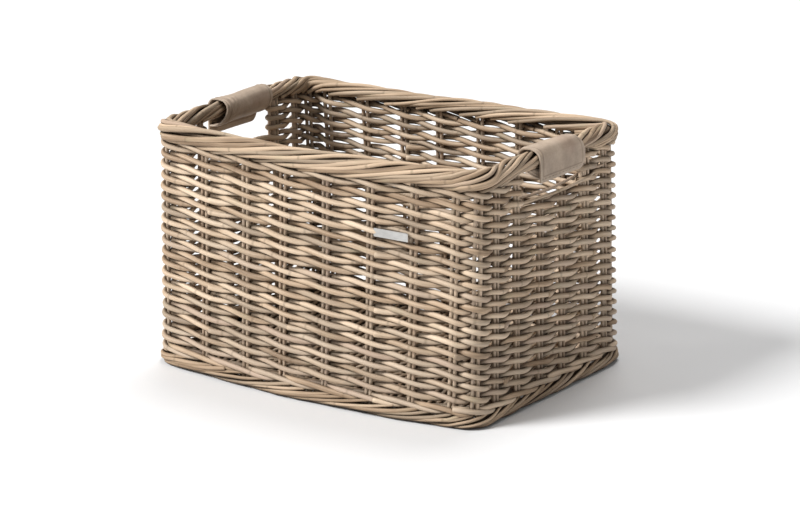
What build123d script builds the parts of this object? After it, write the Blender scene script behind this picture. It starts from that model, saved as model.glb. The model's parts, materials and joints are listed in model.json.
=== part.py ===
"""Rectangular rattan basket with an open top, paired stakes, twined walls, rolled borders
and a leather sleeve round the border at each end.

Millimetres, +Z up, X along the basket's length. The origin is at the centre of the floor
that the basket stands on. The front, at -Y, bows outwards.
"""
from build123d import *
import math
import os

os.makedirs("parts", exist_ok=True)

# Plan of the wall, measured on the centre surface of the weave
HALF_LENGTH = 217.5
FOOT_HALF_DEPTH = 160.0
RIM_HALF_DEPTH = 150.0
FOOT_CORNER = 21.0
RIM_CORNER = 20.0
FRONT_TURN = 10.5
BACK_TURN = 2.5

# Heights
ROW_PITCH = 12.6
ROWS = 20
FOOT_TOP = 13.0
RIM_BASE = FOOT_TOP + ROWS * ROW_PITCH
RIM_HEIGHT = 22.0
HEIGHT = RIM_BASE + RIM_HEIGHT

# Half thickness of the weave, and how far the borders reach inside and outside the centre
WALL_HALF = 8.0
FOOT_REACH = 11.0
FOOT_ROUNDING = 4.0
RIM_REACH = 12.0
RIM_ROUNDING = 6.0

# Stakes: upright rods in pairs
STAKE_DIAMETER = 4.2
STAKE_SPACING = 4.5
STAKE_BORE = 4.4
STAKE_END_GAP = 0.4
FRONT_STAKES = (0.138, 0.296, 0.43, 0.575, 0.718, 0.851, 0.972)
BACK_STAKES = (0.142, 0.286, 0.422, 0.567, 0.695, 0.833, 0.972)
END_STAKES_FOOT_Y = (-101.0, -58.0, -11.0, 34.0, 80.0, 126.0)
END_STAKES_RIM_Y = (-98.0, -60.0, -12.0, 34.0, 82.0, 119.0)
SHORT_STAKES = (3, 4)

# Base
BASE_BOTTOM = 4.0
BASE_THICKNESS = 12.0
BASE_REACH = -11.4
BASE_STICK_DIAMETER = 7.0
BASE_STICK_BORE = 7.2
BASE_STICKS = 7
BASE_STICK_LENGTH = 400.0
BASE_STICK_SPACING = 36.0

# Hand holes, handle bars and leather sleeves
HOLE_WIDTH = 122.0
HOLE_CENTRE_Y = 7.0
HOLE_BOTTOM = RIM_BASE - 3 * ROW_PITCH
BAR_RADIUS = 10.0
BAR_HEIGHT = HEIGHT - BAR_RADIUS
BAR_END_GAP = 0.3
SLEEVE_LENGTH = 92.0
SLEEVE_CENTRE_Y = 16.0
SLEEVE_BORE_RADIUS = 11.0
LEATHER = 2.2
SLEEVE_DROPS = {"left": 33.0, "right": 26.0}
SEAM_DEPTH = 5.0
STITCH_RADIUS = 0.4
STITCH_PITCH = 7.0
STITCHES = 13
STITCH_PROUD = 0.3

# Metal tag on the front
TAG_LENGTH = 45.0
TAG_HEIGHT = 9.5
TAG_THICKNESS = 0.8
TAG_PLACE = 0.793
TAG_CENTRE_Z = 207.0
TAG_TILT = -6.0
TAG_STAND_OFF = 0.2
TAB_LENGTH = 6.0
TAB_HEIGHT = 4.0
TAB_INSET = 4.0


def plan(z):
    """Corner radius, and radius, centre and corner centre of the bowed front and back, at z."""
    rise = (z - FOOT_TOP) / (RIM_BASE - FOOT_TOP)
    corner = FOOT_CORNER + (RIM_CORNER - FOOT_CORNER) * rise
    half_depth = FOOT_HALF_DEPTH + (RIM_HALF_DEPTH - FOOT_HALF_DEPTH) * rise
    sides = []
    for turn, side in ((FRONT_TURN, -1), (BACK_TURN, 1)):
        angle = math.radians(turn)
        radius = (HALF_LENGTH - corner) / math.sin(angle) + corner
        centre_y = side * (half_depth - radius)
        corner_y = centre_y + side * (radius - corner) * math.cos(angle)
        sides.append((radius, centre_y, corner_y))
    return corner, sides[0], sides[1]


def arcs(z):
    """Centre, radius, start angle and sweep of every curved stretch of the plan at z."""
    corner, (front_radius, front_y, front_corner), (back_radius, back_y, back_corner) = plan(z)
    corner_x = HALF_LENGTH - corner
    return {
        "front": ((0, front_y), front_radius, 270 - FRONT_TURN, 2 * FRONT_TURN),
        "back": ((0, back_y), back_radius, 90 - BACK_TURN, 2 * BACK_TURN),
        "front_right": ((corner_x, front_corner), corner, 270 + FRONT_TURN, 90 - FRONT_TURN),
        "front_left": ((-corner_x, front_corner), corner, 180, 90 - FRONT_TURN),
        "back_right": ((corner_x, back_corner), corner, 0, 90 - BACK_TURN),
        "back_left": ((-corner_x, back_corner), corner, 90 + BACK_TURN, 90 - BACK_TURN),
    }


def end_sign(name):
    """Which end a piece belongs to: +1 for the right, -1 for the left."""
    return 1 if "right" in name else -1


def band(name, z, reach):
    """Face of the stretch of wall called name at z, from reach inside to reach outside."""
    with BuildSketch() as face:
        if name in ("left", "right"):
            _, (_, _, front_corner), (_, _, back_corner) = plan(z)
            with Locations((end_sign(name) * HALF_LENGTH, (front_corner + back_corner) / 2)):
                Rectangle(2 * reach, back_corner - front_corner)
        else:
            centre, radius, start, sweep_angle = arcs(z)[name]
            with BuildLine():
                outer = CenterArc(centre, radius + reach, start, sweep_angle)
                inner = CenterArc(centre, radius - reach, start, sweep_angle)
                Line(outer @ 0, inner @ 0)
                Line(outer @ 1, inner @ 1)
            make_face()
    return face.sketch


def side_place(name, fraction, z):
    """Point on the centre line of a curved stretch at z, and the unit vector along it."""
    (x, y), radius, start, sweep_angle = arcs(z)[name]
    angle = math.radians(start + sweep_angle * fraction)
    point = Vector(x + radius * math.cos(angle), y + radius * math.sin(angle), z)
    return point, Vector(-math.sin(angle), math.cos(angle), 0)


def stake_lines(name):
    """Foot, top and direction along the wall of every stake on a stretch of wall."""
    rise = Vector(0, 0, RIM_BASE - FOOT_TOP)
    lines = []
    if name in ("left", "right"):
        x = end_sign(name) * HALF_LENGTH
        for foot_y, rim_y in zip(END_STAKES_FOOT_Y, END_STAKES_RIM_Y):
            lines.append((Vector(x, foot_y, FOOT_TOP), Vector(x, rim_y, RIM_BASE), Vector(0, 1, 0)))
        return lines
    fractions = {"front": FRONT_STAKES, "back": BACK_STAKES}.get(name, (0.5,))
    for fraction in fractions:
        foot, along = side_place(name, fraction, FOOT_TOP)
        top, _ = side_place(name, fraction, RIM_BASE)
        lines.append((foot, top, along))
    return lines


def stake_rods(name, number):
    """Planes at the feet of a stake's two rods, facing along them, and the rods' length.

    A stake reaches from the foot border to the rim, or to the sill of a hand hole.
    """
    foot, top, along = stake_lines(name)[number - 1]
    axis = (top - foot).normalized()
    stop = RIM_BASE
    if name in ("left", "right") and number in SHORT_STAKES:
        stop = HOLE_BOTTOM
    length = (stop - FOOT_TOP) / axis.Z - 2 * STAKE_END_GAP
    start = foot + axis * STAKE_END_GAP
    shifts = (-STAKE_SPACING / 2, STAKE_SPACING / 2)
    return [Plane(start + along * shift, x_dir=along, z_dir=axis) for shift in shifts], length


def export(builder, label):
    """Name a finished piece and write it."""
    builder.part.label = label
    export_step(builder.part, f"parts/{label}.step")


def make_weave(name):
    """One stretch of twined wall, with bores for its stakes and any hand hole."""
    with BuildPart() as weave:
        for z in (FOOT_TOP, RIM_BASE):
            with BuildSketch(Plane.XY.offset(z)):
                add(band(name, z, WALL_HALF))
        loft(ruled=True)
        for number in range(1, len(stake_lines(name)) + 1):
            planes, length = stake_rods(name, number)
            with BuildSketch(*planes):
                Circle(STAKE_BORE / 2)
            extrude(amount=length, both=True, mode=Mode.SUBTRACT)
        if name in ("left", "right"):
            with BuildSketch(Plane.XY.offset(HOLE_BOTTOM)):
                with Locations((end_sign(name) * HALF_LENGTH, HOLE_CENTRE_Y)):
                    Rectangle(4 * WALL_HALF, HOLE_WIDTH)
            extrude(amount=RIM_BASE - HOLE_BOTTOM, mode=Mode.SUBTRACT)
    export(weave, f"{name}_weave")


def make_stake(name, number):
    """One pair of upright rods."""
    planes, length = stake_rods(name, number)
    with BuildPart() as stake:
        with BuildSketch(*planes):
            Circle(STAKE_DIAMETER / 2)
        extrude(amount=length)
    label = f"{name}_post" if "_" in name else f"{name}_stake_{number}"
    export(stake, label)


def make_border(names, low, height, reach, rounding, label):
    """A bar of bundled rods that follows the plan along the stretches called names."""
    middle = low + height / 2
    with BuildPart() as border:
        with BuildSketch(Plane.XY.offset(low)):
            for name in names:
                add(band(name, middle, reach))
        extrude(amount=height)
        long_edges = [edge for edge in border.edges() if is_long_edge(edge, low, height, reach)]
        fillet(long_edges, rounding)
    export(border, label)


def is_long_edge(edge, low, height, reach):
    """True for an edge that runs along the border, at its top or foot."""
    level = abs(edge.center().Z - low) < 0.01 or abs(edge.center().Z - low - height) < 0.01
    return level and abs(edge.length - 2 * reach) > 0.01


def base_outline(z):
    """Closed outline inside the walls at z, as four straight runs and six arcs."""
    stretches = ("front", "front_right", "back_right", "back", "back_left", "front_left")
    curves = {}
    for name in stretches:
        centre, radius, start, sweep_angle = arcs(z)[name]
        curves[name] = CenterArc(centre, radius + BASE_REACH, start, sweep_angle)
    Line(curves["front_right"] @ 1, curves["back_right"] @ 0)
    Line(curves["back_left"] @ 1, curves["front_left"] @ 0)


def stick_places():
    """Y and Z of the sticks inside the woven floor."""
    middle = (BASE_STICKS - 1) / 2
    height = BASE_BOTTOM + BASE_THICKNESS / 2
    return [((index - middle) * BASE_STICK_SPACING, height) for index in range(BASE_STICKS)]


def make_base():
    """Woven floor inside the walls, with bores for its sticks, and the sticks."""
    stick_start = Plane.YZ.offset(-BASE_STICK_LENGTH / 2)
    with BuildPart() as base:
        with BuildSketch(Plane.XY.offset(BASE_BOTTOM)):
            with BuildLine():
                base_outline(BASE_BOTTOM + BASE_THICKNESS)
            make_face()
        extrude(amount=BASE_THICKNESS)
        with BuildSketch(stick_start):
            with Locations(stick_places()):
                Circle(BASE_STICK_BORE / 2)
        extrude(amount=BASE_STICK_LENGTH, mode=Mode.SUBTRACT)
    export(base, "base_weave")
    with BuildPart() as sticks:
        with BuildSketch(stick_start):
            with Locations(stick_places()):
                Circle(BASE_STICK_DIAMETER / 2)
        extrude(amount=BASE_STICK_LENGTH)
    export(sticks, "base_sticks")


def make_handle_bar(name):
    """Bundle of border rods that crosses an end above its hand hole."""
    _, (_, _, front_corner), (_, _, back_corner) = plan(RIM_BASE + RIM_HEIGHT / 2)
    start = front_corner + BAR_END_GAP
    centre = (end_sign(name) * HALF_LENGTH, BAR_HEIGHT)
    with BuildPart() as bar:
        with BuildSketch(Plane.XZ.offset(-start)):
            with Locations(centre):
                Circle(BAR_RADIUS)
        extrude(amount=start - back_corner + BAR_END_GAP)
    export(bar, f"{name}_handle_bar")


def sleeve_section(radius, drop):
    """Face of the sleeve's section: a half circle with straight sides down to -drop."""
    with BuildSketch() as face:
        with BuildLine():
            top = CenterArc((0, 0), radius, 0, 180)
            Polyline(top @ 1, (-radius, -drop), (radius, -drop), top @ 0)
        make_face()
    return face.sketch


def make_sleeve(name):
    """Leather tube that hangs loosely on the handle bar, with its sewn seam below."""
    mouth = (end_sign(name) * HALF_LENGTH, SLEEVE_CENTRE_Y - SLEEVE_LENGTH / 2, BAR_HEIGHT)
    section = Plane(mouth, x_dir=(1, 0, 0), z_dir=(0, -1, 0))
    floor = SLEEVE_DROPS[name] - SEAM_DEPTH
    with BuildPart() as sleeve:
        with BuildSketch(section):
            add(sleeve_section(SLEEVE_BORE_RADIUS + LEATHER, floor))
        extrude(amount=-SLEEVE_LENGTH)
        with BuildSketch(section):
            add(sleeve_section(SLEEVE_BORE_RADIUS, floor - LEATHER))
        extrude(amount=-SLEEVE_LENGTH, mode=Mode.SUBTRACT)
        with BuildSketch(section):
            with Locations((0, -floor - SEAM_DEPTH / 2)):
                Rectangle(2 * LEATHER, SEAM_DEPTH)
        extrude(amount=-SLEEVE_LENGTH)
    export(sleeve, f"{name}_sleeve")


def make_stitching(name):
    """Row of thread stitches through the sleeve's seam."""
    reach = LEATHER + STITCH_PROUD
    start = Plane.YZ.offset(end_sign(name) * HALF_LENGTH - reach)
    middle = (STITCHES - 1) / 2
    height = BAR_HEIGHT - SLEEVE_DROPS[name] + SEAM_DEPTH / 2
    places = [(SLEEVE_CENTRE_Y + (index - middle) * STITCH_PITCH, height) for index in range(STITCHES)]
    with BuildPart() as stitching:
        with BuildSketch(start):
            with Locations(places):
                Circle(STITCH_RADIUS)
        extrude(amount=2 * reach)
    export(stitching, f"{name}_stitching")


def make_tag():
    """Plain metal plate on the front, held by two tabs that go in between the rods."""
    point, along = side_place("front", TAG_PLACE, TAG_CENTRE_Z)
    outward = along.cross(Vector(0, 0, 1))
    face = point + outward * (WALL_HALF + TAG_STAND_OFF)
    plate = Plane(face, x_dir=along, z_dir=outward).rotated((0, 0, TAG_TILT))
    tab_x = TAG_LENGTH / 2 - TAB_INSET
    with BuildPart() as tag:
        with BuildSketch(plate):
            RectangleRounded(TAG_LENGTH, TAG_HEIGHT, 1.0)
        extrude(amount=TAG_THICKNESS)
        with BuildSketch(plate):
            with Locations((-tab_x, 0), (tab_x, 0)):
                Rectangle(TAG_THICKNESS, TAB_HEIGHT)
        extrude(amount=-TAB_LENGTH)
    export(tag, "metal_tag")


SIDES = ("front", "back", "left", "right")
CORNERS = ("front_left", "front_right", "back_left", "back_right")

for stretch in SIDES + CORNERS:
    make_weave(stretch)
    for stake_number in range(1, len(stake_lines(stretch)) + 1):
        make_stake(stretch, stake_number)
    if stretch not in ("left", "right"):
        make_border([stretch], RIM_BASE, RIM_HEIGHT, RIM_REACH, RIM_ROUNDING, f"rim_{stretch}")

foot_stretches = {
    "foot_front": ["front_left", "front", "front_right"],
    "foot_right": ["right"],
    "foot_back": ["back_right", "back", "back_left"],
    "foot_left": ["left"],
}
for foot_label, stretches in foot_stretches.items():
    make_border(stretches, 0, FOOT_TOP, FOOT_REACH, FOOT_ROUNDING, foot_label)
make_base()
for end in ("left", "right"):
    make_handle_bar(end)
    make_sleeve(end)
    make_stitching(end)
make_tag()
print(f"overall {2 * (HALF_LENGTH + SLEEVE_BORE_RADIUS + LEATHER):.1f} long")
print(f"{2 * (FOOT_HALF_DEPTH + FOOT_REACH):.1f} deep, {BAR_HEIGHT + SLEEVE_BORE_RADIUS + LEATHER:.1f} high")
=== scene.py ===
# %% [markdown]
# # A wicker log basket
# A rectangular basket of weathered rattan: thirty pairs of upright stakes, twenty rows of rods
# twined round them, a rolled border like a thick rope at the rim and a thinner one at the foot,
# and a soft leather sleeve on the border at each end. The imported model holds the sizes. Every rod
# here is a tube carried along a path that is worked out from those sizes.

# %% Load the frame
import json
import math

import bpy
import numpy as np
from mathutils import Matrix, Vector
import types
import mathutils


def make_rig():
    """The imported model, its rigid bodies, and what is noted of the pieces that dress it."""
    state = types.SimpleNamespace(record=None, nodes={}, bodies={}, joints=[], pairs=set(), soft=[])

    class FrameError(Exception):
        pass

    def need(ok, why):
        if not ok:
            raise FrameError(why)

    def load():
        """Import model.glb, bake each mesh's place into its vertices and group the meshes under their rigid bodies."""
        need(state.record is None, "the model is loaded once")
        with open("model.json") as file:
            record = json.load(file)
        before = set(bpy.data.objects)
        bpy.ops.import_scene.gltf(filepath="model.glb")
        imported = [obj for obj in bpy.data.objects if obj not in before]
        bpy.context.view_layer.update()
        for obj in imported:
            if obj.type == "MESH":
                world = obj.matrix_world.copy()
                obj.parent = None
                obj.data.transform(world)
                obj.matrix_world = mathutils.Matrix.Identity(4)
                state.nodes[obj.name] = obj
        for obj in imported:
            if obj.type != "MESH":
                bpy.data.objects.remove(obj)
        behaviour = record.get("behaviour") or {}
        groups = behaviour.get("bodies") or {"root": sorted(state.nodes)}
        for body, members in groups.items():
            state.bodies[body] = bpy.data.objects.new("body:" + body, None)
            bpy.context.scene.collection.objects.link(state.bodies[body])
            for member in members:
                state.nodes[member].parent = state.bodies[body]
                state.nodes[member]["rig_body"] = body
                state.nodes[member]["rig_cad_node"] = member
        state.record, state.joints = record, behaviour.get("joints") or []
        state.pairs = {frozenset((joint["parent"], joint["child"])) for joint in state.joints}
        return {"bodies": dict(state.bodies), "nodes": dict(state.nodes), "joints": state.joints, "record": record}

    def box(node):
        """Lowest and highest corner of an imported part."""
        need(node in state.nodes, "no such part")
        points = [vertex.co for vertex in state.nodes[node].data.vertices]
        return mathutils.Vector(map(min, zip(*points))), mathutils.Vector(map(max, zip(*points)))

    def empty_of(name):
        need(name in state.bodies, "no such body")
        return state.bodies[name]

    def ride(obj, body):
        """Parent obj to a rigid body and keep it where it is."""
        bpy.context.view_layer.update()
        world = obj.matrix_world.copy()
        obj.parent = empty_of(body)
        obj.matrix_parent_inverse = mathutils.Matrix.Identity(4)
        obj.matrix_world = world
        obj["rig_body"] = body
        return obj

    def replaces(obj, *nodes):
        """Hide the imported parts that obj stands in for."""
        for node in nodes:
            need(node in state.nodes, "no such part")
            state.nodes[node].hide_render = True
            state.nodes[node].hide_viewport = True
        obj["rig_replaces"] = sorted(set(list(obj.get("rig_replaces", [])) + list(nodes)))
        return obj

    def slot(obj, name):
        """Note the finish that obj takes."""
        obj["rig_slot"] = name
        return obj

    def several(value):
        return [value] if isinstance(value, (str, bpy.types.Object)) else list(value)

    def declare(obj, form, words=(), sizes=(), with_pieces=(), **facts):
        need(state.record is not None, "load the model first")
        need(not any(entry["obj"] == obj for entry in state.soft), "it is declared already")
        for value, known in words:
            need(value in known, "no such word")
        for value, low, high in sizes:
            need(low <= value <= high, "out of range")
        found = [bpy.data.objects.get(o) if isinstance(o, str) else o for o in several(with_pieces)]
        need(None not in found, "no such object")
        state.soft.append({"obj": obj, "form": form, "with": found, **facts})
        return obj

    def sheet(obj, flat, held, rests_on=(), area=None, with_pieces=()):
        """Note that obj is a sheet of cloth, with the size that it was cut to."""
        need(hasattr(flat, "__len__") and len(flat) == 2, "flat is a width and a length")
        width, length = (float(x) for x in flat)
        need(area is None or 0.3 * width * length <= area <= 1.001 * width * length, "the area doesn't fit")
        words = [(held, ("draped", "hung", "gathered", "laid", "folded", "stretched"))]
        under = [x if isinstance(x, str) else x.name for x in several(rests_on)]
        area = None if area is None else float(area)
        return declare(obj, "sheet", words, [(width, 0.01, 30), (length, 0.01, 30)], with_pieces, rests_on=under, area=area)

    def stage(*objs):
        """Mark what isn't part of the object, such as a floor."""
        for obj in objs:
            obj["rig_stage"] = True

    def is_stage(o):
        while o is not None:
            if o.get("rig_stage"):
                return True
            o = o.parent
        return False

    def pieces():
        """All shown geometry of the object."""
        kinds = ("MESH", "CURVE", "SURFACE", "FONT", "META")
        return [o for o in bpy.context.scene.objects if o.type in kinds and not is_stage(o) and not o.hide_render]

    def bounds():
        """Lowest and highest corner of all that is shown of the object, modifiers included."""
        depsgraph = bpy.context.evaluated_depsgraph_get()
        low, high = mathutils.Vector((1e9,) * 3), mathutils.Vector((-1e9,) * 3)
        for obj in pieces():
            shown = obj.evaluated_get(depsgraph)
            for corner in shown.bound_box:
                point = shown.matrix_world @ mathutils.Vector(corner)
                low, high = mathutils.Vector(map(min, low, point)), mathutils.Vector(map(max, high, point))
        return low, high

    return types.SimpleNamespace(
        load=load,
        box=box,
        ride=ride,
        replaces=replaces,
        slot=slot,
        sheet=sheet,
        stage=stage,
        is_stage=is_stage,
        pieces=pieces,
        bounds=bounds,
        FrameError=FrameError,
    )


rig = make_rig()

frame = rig.load()
cad_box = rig.bounds()
MM = 0.001
print("bodies:", sorted(frame["bodies"]), "nodes:", len(frame["nodes"]))

# %% [markdown]
# ## Sizes
# Heights and the basket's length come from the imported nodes. The corner radii, the bow of the
# long sides and the stakes' places are the design's own numbers, in metres.

# %% Sizes
FOOT_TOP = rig.box("foot_front")[1][2]
RIM_BASE, RIM_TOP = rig.box("rim_front")[0][2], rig.box("rim_front")[1][2]
HALF_LENGTH = sum(corner[0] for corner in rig.box("right_handle_bar")) / 2
BAR_HEIGHT = sum(corner[2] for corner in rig.box("right_handle_bar")) / 2
ROWS = 20
HOLE_ROWS = 3
ROW_PITCH = (RIM_BASE - FOOT_TOP) / ROWS
WALL_HALF = 8 * MM
FOOT_HALF_DEPTH = -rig.box("front_weave")[0][1] - WALL_HALF
RIM_HALF_DEPTH = 150 * MM
FOOT_CORNER, RIM_CORNER = 21 * MM, 20 * MM
FRONT_TURN, BACK_TURN = math.radians(10.5), math.radians(2.5)
FRONT_STAKES = (0.138, 0.296, 0.43, 0.575, 0.718, 0.851, 0.972)
BACK_STAKES = (0.142, 0.286, 0.422, 0.567, 0.695, 0.833, 0.972)
END_STAKES_FOOT_Y = np.array([-101, -58, -11, 34, 80, 126]) * MM
END_STAKES_RIM_Y = np.array([-98, -60, -12, 34, 82, 119]) * MM
print(f"rows of {ROW_PITCH / MM:.2f} mm from {FOOT_TOP / MM:.0f} to {RIM_BASE / MM:.0f} mm")

# %% [markdown]
# ## The plan of the wall
# Seen from above the wall is a rounded rectangle whose front bows outwards. It is eight
# stretches in a row: front, corner, right end, corner, back, corner, left end, corner. A point
# on it is named by q, the stretch's number plus how far along the stretch it is. The wall is
# ruled between the plan at the foot and the plan at the rim, so any height is a blend of two
# tables.

# %% Plan tables
def outline(corner, half_depth, count=160):
    """Points and q of the plan: arcs joined by straight ends, from the front's left, turning left.

    A bowed side is an arc whose radius makes it meet both corner arcs without a kink:
    the distance between their centres, divided by the sine of half its angle, plus the
    corner radius.
    """
    fraction = np.linspace(0, 1, count, endpoint=False)
    corner_x = HALF_LENGTH - corner
    sides = {}
    for side, turn in ((-1, FRONT_TURN), (1, BACK_TURN)):
        radius = corner_x / math.sin(turn) + corner
        centre = side * (half_depth - radius)
        sides[side] = (radius, centre, centre + side * (radius - corner) * math.cos(turn))

    def arc(x, y, radius, start, stop):
        angle = start + (stop - start) * fraction
        return np.stack([x + radius * np.cos(angle), y + radius * np.sin(angle)], axis=1)

    def line(start, stop):
        return np.outer(1 - fraction, start) + np.outer(fraction, stop)

    front, back, turn = sides[-1], sides[1], math.pi / 2
    stretches = [
        arc(0, front[1], front[0], 3 * turn - FRONT_TURN, 3 * turn + FRONT_TURN),
        arc(corner_x, front[2], corner, 3 * turn + FRONT_TURN, 4 * turn),
        line((HALF_LENGTH, front[2]), (HALF_LENGTH, back[2])),
        arc(corner_x, back[2], corner, 0, turn - BACK_TURN),
        arc(0, back[1], back[0], turn - BACK_TURN, turn + BACK_TURN),
        arc(-corner_x, back[2], corner, turn + BACK_TURN, 2 * turn),
        line((-HALF_LENGTH, back[2]), (-HALF_LENGTH, front[2])),
        arc(-corner_x, front[2], corner, 2 * turn, 3 * turn - FRONT_TURN),
    ]
    q = np.arange(8)[:, None] + fraction
    return np.concatenate(stretches), q.ravel(), front[2], back[2]


FOOT_PLAN, PLAN_Q, FOOT_FRONT_Y, FOOT_BACK_Y = outline(FOOT_CORNER, FOOT_HALF_DEPTH)
RIM_PLAN, _, RIM_FRONT_Y, RIM_BACK_Y = outline(RIM_CORNER, RIM_HALF_DEPTH)
RIGHT_END, LEFT_END = 2, 6


def stakes_q(front_y, back_y, end_y):
    """q of all stakes in order round the basket, from the front's first."""
    right = RIGHT_END + (end_y - front_y) / (back_y - front_y)
    left = LEFT_END + (back_y - end_y[::-1]) / (back_y - front_y)
    front = np.array(FRONT_STAKES)
    back = 4 + np.array(BACK_STAKES)
    return np.concatenate([front, [1.5], right, [3.5], back, [5.5], left, [7.5]])


FOOT_Q = stakes_q(FOOT_FRONT_Y, FOOT_BACK_Y, END_STAKES_FOOT_Y)
RIM_Q = stakes_q(RIM_FRONT_Y, RIM_BACK_Y, END_STAKES_RIM_Y)
STAKES = len(FOOT_Q)
print(STAKES, "stakes")


def rise_at(z):
    """How far a height is from the foot's plan, 0, to the rim's plan, 1."""
    return (z - FOOT_TOP) / (RIM_BASE - FOOT_TOP)


def walk(z, u):
    """Point on the wall's centre surface at height z and stake count u, and the normal outwards.

    u is 3.0 at the fourth stake and 3.5 halfway, by length along the wall, to the fifth. It may
    run past the last stake, and goes round again.
    """
    rise = rise_at(z)
    points = FOOT_PLAN * (1 - rise) + RIM_PLAN * rise
    steps = np.linalg.norm(np.roll(points, -1, axis=0) - points, axis=1)
    length = np.concatenate([[0], np.cumsum(steps)])
    total = length[-1]
    stake_length = np.interp(FOOT_Q * (1 - rise) + RIM_Q * rise, np.append(PLAN_Q, 8), length)
    knots = np.concatenate([stake_length, stake_length + total])
    turns, inside = np.divmod(u, STAKES)
    place = np.interp(inside, np.arange(2 * STAKES), knots) % total
    tangent = np.roll(points, -1, axis=0) - np.roll(points, 1, axis=0)
    table = np.concatenate([points, tangent], axis=1)
    table = np.concatenate([table, table[:1]])
    x, y, along_x, along_y = (np.interp(place, length, column) for column in table.T)
    size = np.hypot(along_x, along_y)
    return np.stack([x, y], axis=1), np.stack([along_y / size, -along_x / size], axis=1)

# %% [markdown]
# ## A rod
# Every strand of the basket is a tube: a circle carried along a path. The circle's frame comes
# from the path's direction and one fixed direction that the path never points in, so the tube
# can't twist. Each rod has its own tone, and its surface coordinates are its real length along
# and its turn round, so that the grain follows it.

# %% Rod meshes
SIDES = 10
rng = np.random.default_rng(20)


def rod(path, radius, upright=False, closed=False, tone=None):
    """Vertices, faces and coordinates of one tube.

    A vertex is path + radius * (cos * sideways + sin * across), where sideways is the
    reference direction crossed with the path's direction, and across is at right angles to
    both. Ends are closed by a flat cut with a small chamfer.
    """
    path = np.asarray(path, dtype=float)
    radius = np.broadcast_to(radius, len(path)).astype(float)
    if closed:
        direction = np.roll(path, -1, axis=0) - np.roll(path, 1, axis=0)
    else:
        direction = np.gradient(path, axis=0)
        chamfer = 0.25 * radius[[0, -1]]
        unit = direction[[0, -1]] / np.linalg.norm(direction[[0, -1]], axis=1)[:, None]
        path = np.concatenate([path[:1] - unit[:1] * chamfer[0], path, path[-1:] + unit[1:] * chamfer[1]])
        radius = np.concatenate([radius[:1] * 0.75, radius, radius[-1:] * 0.75])
        direction = np.concatenate([direction[:1], direction, direction[-1:]])
    direction = direction / np.linalg.norm(direction, axis=1)[:, None]
    reference = np.array([1.0, 0.3, 0]) if upright else np.array([0, 0, 1.0])
    sideways = np.cross(reference, direction)
    sideways /= np.linalg.norm(sideways, axis=1)[:, None]
    across = np.cross(direction, sideways)
    angle = np.linspace(0, 2 * math.pi, SIDES, endpoint=False)
    ring = np.cos(angle)[None, :, None] * sideways[:, None] + np.sin(angle)[None, :, None] * across[:, None]
    vertices = path[:, None] + radius[:, None, None] * ring
    length = np.concatenate([[0], np.cumsum(np.linalg.norm(np.diff(path, axis=0), axis=1))])
    rings = len(path)
    last = rings if closed else rings - 1
    i, j = np.meshgrid(np.arange(last), np.arange(SIDES), indexing="ij")
    following, beside = (i + 1) % rings, (j + 1) % SIDES
    corners = [i * SIDES + j, i * SIDES + beside, following * SIDES + beside, following * SIDES + j]
    if closed:
        length = np.append(length, length[-1] + np.linalg.norm(path[0] - path[-1]))
    u = np.stack([length[i], length[i], length[i + 1], length[i + 1]], axis=2)
    v = np.stack([j, j + 1, j + 1, j], axis=2) / SIDES
    circle = np.arange(SIDES)
    return {
        "vertices": vertices.reshape(-1, 3),
        "quads": np.stack(corners, axis=2).reshape(-1, 4),
        "uv": np.stack([u, v], axis=3).reshape(-1, 2),
        "caps": None if closed else np.stack([circle[::-1], (rings - 1) * SIDES + circle]),
        "tone": rng.random(2) if tone is None else np.asarray(tone),
    }


# %% [markdown]
# ## From rods to a piece
# Many rods are joined in one mesh, which is much quicker than one object each. Every vertex
# keeps its rod's tone and hue, so that one material can still colour each rod by itself.

# %% Pieces
def make_piece(name, rods):
    """One mesh object from a list of rods, with a UV map and two tones per rod on its vertices."""
    starts = np.cumsum([0] + [len(r["vertices"]) for r in rods])
    quads = np.concatenate([r["quads"] + start for r, start in zip(rods, starts)])
    caps = [r["caps"] + start for r, start in zip(rods, starts) if r["caps"] is not None]
    caps = np.concatenate(caps) if caps else np.zeros((0, SIDES), dtype=int)
    vertices = np.concatenate([r["vertices"] for r in rods])
    mesh = bpy.data.meshes.new(name)
    mesh.vertices.add(len(vertices))
    mesh.vertices.foreach_set("co", vertices.ravel())
    loops = np.concatenate([quads.ravel(), caps.ravel()])
    sizes = np.concatenate([np.full(len(quads), 4), np.full(len(caps), SIDES)])
    mesh.loops.add(len(loops))
    mesh.loops.foreach_set("vertex_index", loops)
    mesh.polygons.add(len(sizes))
    mesh.polygons.foreach_set("loop_start", np.concatenate([[0], np.cumsum(sizes)[:-1]]))
    mesh.polygons.foreach_set("loop_total", sizes)
    mesh.polygons.foreach_set("use_smooth", sizes == 4)
    uv = np.concatenate([r["uv"] for r in rods] + [np.full((caps.size, 2), -1.0)])
    mesh.uv_layers.new(name="rod_uv").data.foreach_set("uv", uv.ravel())
    for index, label in enumerate(("rod_tone", "rod_hue")):
        tones = np.concatenate([np.full(len(r["vertices"]), r["tone"][index]) for r in rods])
        mesh.attributes.new(label, "FLOAT", "POINT").data.foreach_set("value", tones)
    mesh.update(calc_edges=True)
    mesh.validate()
    piece = bpy.data.objects.new(name, mesh)
    bpy.context.scene.collection.objects.link(piece)
    print(f"{name}: {len(rods)} rods, {len(quads) * 2} triangles")
    return piece


def wander(u, size, slowest=1, fastest=9):
    """A smooth random wave of about that size, the sum of six sines that close up after one turn."""
    waves = rng.integers(slowest, fastest + 1, 6)
    phases = rng.random(6) * 2 * math.pi
    total = np.sin(2 * math.pi * u[:, None] * waves / STAKES + phases).sum(axis=1)
    return total * size / math.sqrt(3)

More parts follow.
